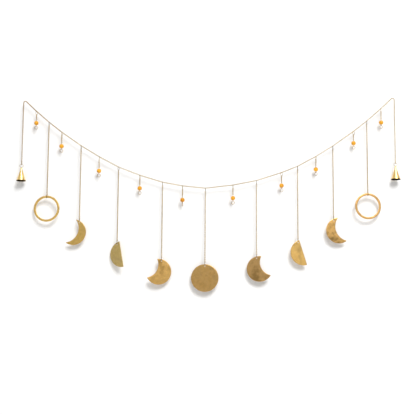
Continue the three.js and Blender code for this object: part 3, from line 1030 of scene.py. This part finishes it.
def bead_material():
    material = bpy.data.materials.new("amber wood")
    material.use_nodes = True
    nodes, links = material.node_tree.nodes, material.node_tree.links
    shader = nodes["Principled BSDF"]
    shader.inputs["Coat Weight"].default_value = LACQUER
    shader.inputs["Coat Roughness"].default_value = LACQUER_ROUGHNESS
    shader.inputs["Specular IOR Level"].default_value = WOOD_SHINE
    place = nodes.new("ShaderNodeTexCoord")
    grain_place = nodes.new("ShaderNodeMapping")
    grain_place.inputs["Scale"].default_value = (1, 1, STREAK_STRETCH)
    links.new(place.outputs["Object"], grain_place.inputs["Vector"])
    streaks = noise_node(nodes, links, grain_place.outputs["Vector"], STREAK_SCALE, STREAK_DETAIL)
    cloud = noise_node(nodes, links, place.outputs["Object"], CLOUD_SCALE, CLOUD_DETAIL)
    streaks = math_node(nodes, links, "MULTIPLY", streaks, STREAK_SHARE)
    cloud = math_node(nodes, links, "MULTIPLY", cloud, 1 - STREAK_SHARE)
    share = math_node(nodes, links, "ADD", streaks, cloud)
    share = spread_node(nodes, links, share, *WOOD_NOISE)
    ramp = nodes.new("ShaderNodeValToRGB")
    ramp.color_ramp.elements[0].color = (*WOOD_LIGHT, 1)
    ramp.color_ramp.elements[1].color = (*WOOD_DARK, 1)
    links.new(share, ramp.inputs["Fac"])
    links.new(ramp.outputs["Color"], shader.inputs["Base Color"])
    rough = math_node(nodes, links, "MULTIPLY", share, STREAK_ROUGHNESS)
    rough = math_node(nodes, links, "ADD", rough, WOOD_ROUGHNESS)
    links.new(rough, shader.inputs["Roughness"])
    bump = nodes.new("ShaderNodeBump")
    bump.inputs["Strength"].default_value = STREAK_STRENGTH
    bump.inputs["Distance"].default_value = STREAK_DEPTH
    links.new(share, bump.inputs["Height"])
    links.new(bump.outputs["Normal"], shader.inputs["Normal"])
    return material


amber_wood = bead_material()
print("steps in the wood:", len(amber_wood.node_tree.nodes))

# %% [markdown]
# A bead's profile is an arc that stops at the mouth of the bore, goes a little way in and then
# straight through. Turned around the pin's axis, it closes on itself.

# %% Beads
BEAD_DIAMETER = 10 * MM
PIN_WIRE = 0.6 * MM
BORE_RADIUS = PIN_WIRE / 2 + CLEARANCE
BEAD_SIDES = 40
BEAD_RINGS = 22
MOUTH_WIDENING = 0.25 * MM
MOUTH_DEPTH = 0.3 * MM


def lathe(profile, sides, centre):
    """Turns a closed profile of (radius, height) pairs around an upright axis."""
    vertices = []
    for i in range(sides):
        angle = 2 * math.pi * i / sides
        for radius, height in profile:
            vertices.append(centre + Vector((radius * math.cos(angle), radius * math.sin(angle), height)))
    count = len(profile)
    faces = []
    for i in range(sides):
        j = (i + 1) % sides
        for k in range(count):
            m = (k + 1) % count
            faces.append((i * count + k, j * count + k, j * count + m, i * count + m))
    return vertices, faces


def bead_ball(bead):
    radius = BEAD_DIAMETER / 2
    end = math.acos((BORE_RADIUS + MOUTH_WIDENING) / radius)
    profile = []
    for i in range(BEAD_RINGS + 1):
        angle = -end + 2 * end * i / BEAD_RINGS
        profile.append((radius * math.cos(angle), radius * math.sin(angle)))
    mouth = profile[-1][1]
    inner = [(BORE_RADIUS, mouth - MOUTH_DEPTH), (BORE_RADIUS, MOUTH_DEPTH - mouth)]
    centre = box_middle(bead["name"])
    vertices, faces = lathe([*profile, *inner], BEAD_SIDES, centre)
    make_piece(bead["name"] + "_ball", vertices, faces, [amber_wood], "amber_wood", bead["name"])


for bead in BEADS:
    bead_ball(bead)
print("beads:", len(BEADS))

# %% [markdown]
# ## Bead hangers
# A bead sits on an eye pin: a thin wire with a loop bent at each end. The upper loop hangs in a
# short chain, and the lower one holds an empty jump ring. Each loop is nearly closed, and the
# wire runs from it down the middle of the bead.

# %% Eye pins and bead rings
EYE_RADIUS = (RING_WIRE + PIN_WIRE) / 2 + CLEARANCE
EYE_STEPS = 22
EYE_START = math.radians(-75)
EYE_SWEEP = math.radians(330)
PIN_SIDES = 8


def eye_pin(x, upper_eye, lower_eye, turn):
    path = []
    for centre, side in ((upper_eye, 1), (lower_eye, -1)):
        loop = []
        for i in range(EYE_STEPS + 1):
            angle = EYE_START + EYE_SWEEP * i / EYE_STEPS
            along = -EYE_RADIUS * math.cos(angle)
            up = side * EYE_RADIUS * math.sin(angle)
            loop.append(upright_place(Vector((x, 0, centre)), turn, along, up))
        path += loop if side > 0 else loop[::-1]
    return sweep(path, PIN_WIRE / 2, PIN_SIDES)


def bead_hanger(bead):
    name = bead["name"]
    x = bead["x"]
    middle = box_middle(name).z
    half = (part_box(name)[1].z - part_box(name)[0].z) / 2
    eye_reach = half + CLEARANCE + PIN_WIRE / 2 + EYE_RADIUS
    upper_eye = middle + eye_reach
    lower_eye = wire_at_top(name + "_ring")
    eye_turn = bead["lower"] + 90
    upper = Vector((x, 0, bead["strand"] - RING_RADIUS))
    links, count = hanging_links(x, upper.z - RING_RADIUS, upper_eye + EYE_RADIUS, PIN_WIRE,
                                 bead["upper"], ring_wire(eye_turn))
    ring = jump_ring(upper, bead["upper"])
    pin = eye_pin(x, upper_eye, lower_eye, eye_turn)
    vertices, faces = join_parts([links, ring, pin])
    of_ring = [0] * len(links[1]) + [1] * (len(faces) - len(links[1]))
    make_piece(name + "_hanger_links", vertices, faces, [drop_brass, ring_brass], "chain_brass",
               name + "_hanger", of_ring)
    lower_ring = jump_ring(Vector((x, 0, bead["lower_ring"])), bead["lower"])
    make_piece(name + "_drop_ring", *lower_ring, [ring_brass], "ring_brass", name + "_ring")
    return count


print("links above the beads:", [bead_hanger(bead) for bead in BEADS])

# %% [markdown]
# ## Bells
# The bells are thin cones, spun from sheet and polished, with a loop on the crown. A lathe
# profile has both the outside and the inside, so the mouth is really open and the wall is thin.
# The inside, the rim and the last row above it are painted shade. They are nearly black, and
# from below they show as the dark line under each bell.

# %% Bells
BELL_MOUTH = 21 * MM
BELL_HEIGHT = 29 * MM
BELL_CROWN = 3 * MM
BELL_WALL = 0.8 * MM
BELL_FLARE = 1.15
CROWN_PINHOLE = 0.2 * MM
LIP_ROUNDING = 0.15 * MM
BELL_SIDES = 64
BELL_ROWS = 24
PAINTED_SHADE_LIP_ROWS = 1


def bell(side):
    node = side + "_bell"
    low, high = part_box(node)
    crown_z = low.z + BELL_HEIGHT
    crown = BELL_CROWN / 2
    mouth = BELL_MOUTH / 2
    outer = []
    inner = []
    for i in range(BELL_ROWS + 1):
        share = i / BELL_ROWS
        radius = crown + (mouth - crown) * share**BELL_FLARE
        outer.append((radius, -BELL_HEIGHT * share))
        inner.append((max(radius - BELL_WALL, CROWN_PINHOLE), -BELL_HEIGHT * share - BELL_WALL * (1 - share)))
    outer[-1] = (mouth - LIP_ROUNDING, -BELL_HEIGHT)
    profile = [(CROWN_PINHOLE, 0), *outer, *reversed(inner)]
    centre = Vector(((low.x + high.x) / 2, 0, crown_z))
    cone = lathe(profile, BELL_SIDES, centre)
    eye = centre + Vector((0, 0, EYE_RADIUS))
    eye_path = [
        upright_place(eye, 0, EYE_RADIUS * math.cos(a), EYE_RADIUS * math.sin(a))
        for a in (2 * math.pi * i / EYE_STEPS for i in range(EYE_STEPS))
    ]
    vertices, faces = join_parts([cone, sweep(eye_path, PIN_WIRE / 2, PIN_SIDES, closed=True)])
    # The inside, the rim and the last outside row take the painted shade brass, which shows as the dark line
    # under each bell.
    of_painted_shade = [1 if k >= len(outer) - PAINTED_SHADE_LIP_ROWS else 0 for k in range(len(profile))] * BELL_SIDES
    of_painted_shade += [0] * (len(faces) - len(of_painted_shade))
    make_piece(side + "_bell_cone", vertices, faces, [bell_brass, bell_painted_shade_brass], "polished_brass",
               node, of_painted_shade)
    ring = jump_ring(box_middle(side + "_bell_ring"), 90)
    make_piece(side + "_bell_jump_ring", *ring, [ring_brass], "ring_brass", side + "_bell_ring")
    return crown_z + 2 * EYE_RADIUS + PIN_WIRE / 2 - high.z


print("eyes above the solids' eyes in mm:", [round(bell(side) / MM, 2) for side in ("left", "right")])

# %% [markdown]
# ## The studio
# The garland hangs close to a white wall, so soft shadows fall just below each piece. The wall is
# see-through from behind, so that the garland can be looked at from every side. A pale floor lies
# far below. Neither of them is part of the object.

# %% Wall and floor
WALL_GAP = 14 * MM
WALL_ENDS = (-3, 4)
WALL_HEIGHTS = (-3, 3)
WALL_WHITE = (0.9, 0.9, 0.9)
FLOOR_Z = -0.95
FLOOR_ENDS = (-6, 7)
FLOOR_DEPTHS = (-6, 6)
FLOOR_WHITE = (0.85, 0.84, 0.82)
STAGE_ROUGHNESS = 0.9
STAGE_SHINE = 0.1


def stage_plane(name, corners, colour, see_through_back):
    material = bpy.data.materials.new(name)
    material.use_nodes = True
    nodes, links = material.node_tree.nodes, material.node_tree.links
    shader = nodes["Principled BSDF"]
    shader.inputs["Base Color"].default_value = (*colour, 1)
    shader.inputs["Roughness"].default_value = STAGE_ROUGHNESS
    shader.inputs["Specular IOR Level"].default_value = STAGE_SHINE
    if see_through_back:
        clear = nodes.new("ShaderNodeBsdfTransparent")
        choose = nodes.new("ShaderNodeMixShader")
        facing = nodes.new("ShaderNodeNewGeometry")
        links.new(facing.outputs["Backfacing"], choose.inputs[0])
        links.new(shader.outputs[0], choose.inputs[1])
        links.new(clear.outputs[0], choose.inputs[2])
        links.new(choose.outputs[0], nodes["Material Output"].inputs["Surface"])
    mesh = bpy.data.meshes.new(name)
    mesh.from_pydata(corners, [], [(0, 1, 2, 3)])
    mesh.materials.append(material)
    plane = bpy.data.objects.new(name, mesh)
    bpy.context.scene.collection.objects.link(plane)


def corners_of(ends, others):
    """The corners of a rectangle, each as its place along and its place up or back."""
    return [(ends[0], others[0]), (ends[1], others[0]), (ends[1], others[1]), (ends[0], others[1])]


wall_corners = [(x, WALL_GAP, z) for x, z in corners_of(WALL_ENDS, WALL_HEIGHTS)]
floor_corners = [(x, y, FLOOR_Z) for x, y in corners_of(FLOOR_ENDS, FLOOR_DEPTHS)]
stage_plane("wall", wall_corners, WALL_WHITE, True)
stage_plane("floor", floor_corners, FLOOR_WHITE, False)
print("wall behind the garland in mm:", round((WALL_GAP - cad_high.y) / MM, 1))

# %% [markdown]
# The key lamp stands to the right and above, so the shadows fall down and a little to the left.
# It is a wide disk, because a small lamp would give hard shadows and hard glints on the brass. A
# broad, weak and distant light on the left softens the shadows, and a grey world fills the rest.

# %% Lights
KEY_PLACE = Vector((1.4, -3.0, 2.1))
FILL_PLACE = Vector((-1.6, -3.4, 2.2))
WORLD_STRENGTH = 0.2


def aim(light, place, target):
    light.location = place
    light.rotation_euler = (target - place).to_track_quat("-Z", "Y").to_euler()
    bpy.context.scene.collection.objects.link(light)


def disk_lamp(name, place, target, size, power):
    data = bpy.data.lights.new(name, "AREA")
    data.shape = "DISK"
    data.size = size
    data.energy = power
    aim(bpy.data.objects.new(name, data), place, target)


def far_lamp(name, place, target, spread, strength):
    """A lamp so far away that it lights the whole wall evenly."""
    data = bpy.data.lights.new(name, "SUN")
    data.angle = math.radians(spread)
    data.energy = strength
    aim(bpy.data.objects.new(name, data), place, target)


middle = (cad_low + cad_high) / 2
disk_lamp("key lamp", KEY_PLACE, middle, size=1.9, power=136)
far_lamp("fill lamp", FILL_PLACE, middle, spread=60, strength=0.5)

world = bpy.data.worlds.new("soft room")
world.use_nodes = True
sky = world.node_tree.nodes["Background"]
sky.inputs["Color"].default_value = (1, 1, 1, 1)
sky.inputs["Strength"].default_value = WORLD_STRENGTH
bpy.context.scene.world = world
bpy.context.scene.view_settings.view_transform = "Standard"
print("key lamp from the middle in m:", round((KEY_PLACE - middle).length, 2))
